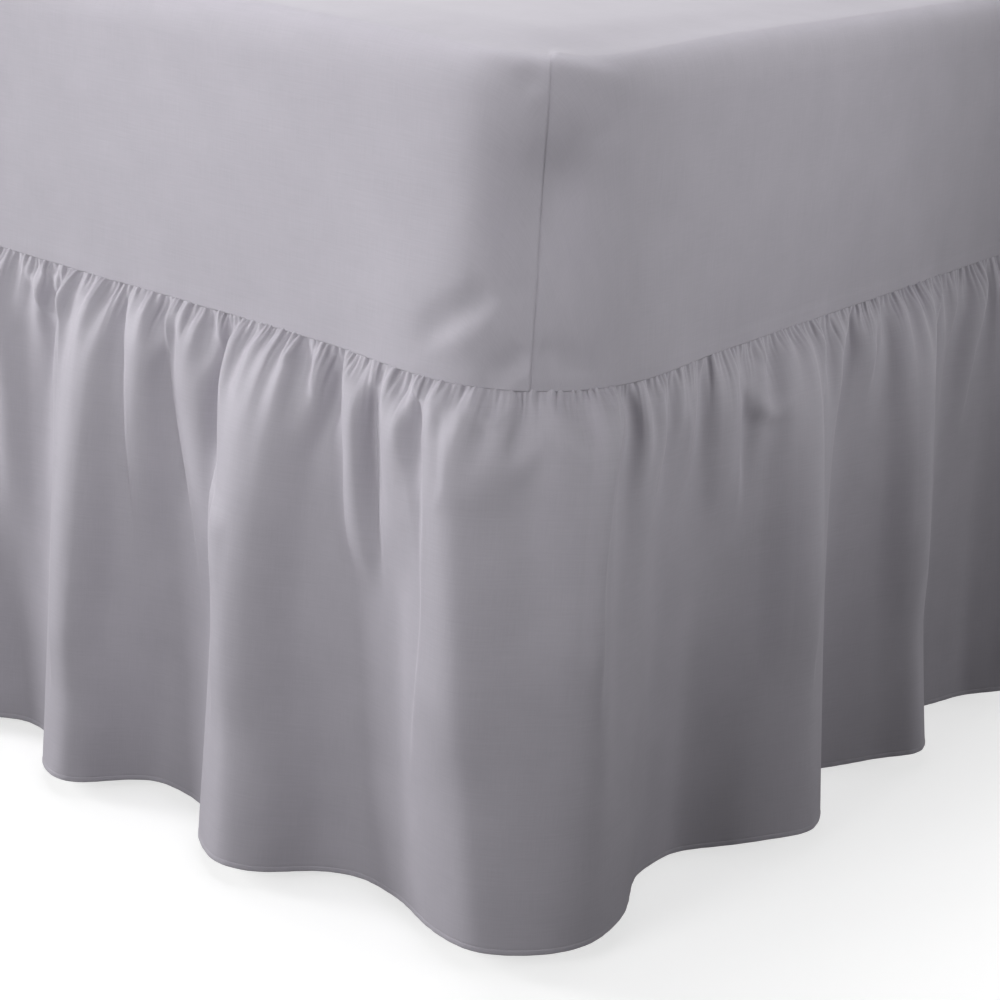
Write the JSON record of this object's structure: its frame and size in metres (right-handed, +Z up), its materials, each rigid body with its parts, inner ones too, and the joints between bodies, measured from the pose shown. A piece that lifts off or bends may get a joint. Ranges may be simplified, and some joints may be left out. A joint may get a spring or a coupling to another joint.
{
  "type": "valance fitted sheet on a plain mattress and divan base",
  "caption": "Deep boxed fitted sheet with a gathered frill hanging from its lower edge nearly to the floor, shown on the plain mattress and divan base that it fits.",
  "frame": {"origin": "on the floor, under the middle of the object's own box", "axes": "+Z up, +Y along the bed from the foot end to the head end, +X across it"},
  "size_m": [1.0542, 2.0518, 0.6371],
  "materials": {
    "sheet_cloth": "matt plain-weave polycotton, mid grey with a little purple",
    "mattress_cover": "pale woven mattress cover",
    "base_cover": "pale plain upholstery cloth",
    "foot_plastic": "matt dark moulded plastic"
  },
  "bodies": {
    "root": {"fitted_panel": "sheet_cloth", "frill_strip_1": "sheet_cloth", "frill_strip_2": "sheet_cloth", "frill_strip_3": "sheet_cloth", "frill_strip_4": "sheet_cloth", "mattress": "mattress_cover", "divan_base": "base_cover", "foot_1": "foot_plastic", "foot_2": "foot_plastic", "foot_3": "foot_plastic", "foot_4": "foot_plastic"}
  },
  "joints": []
}
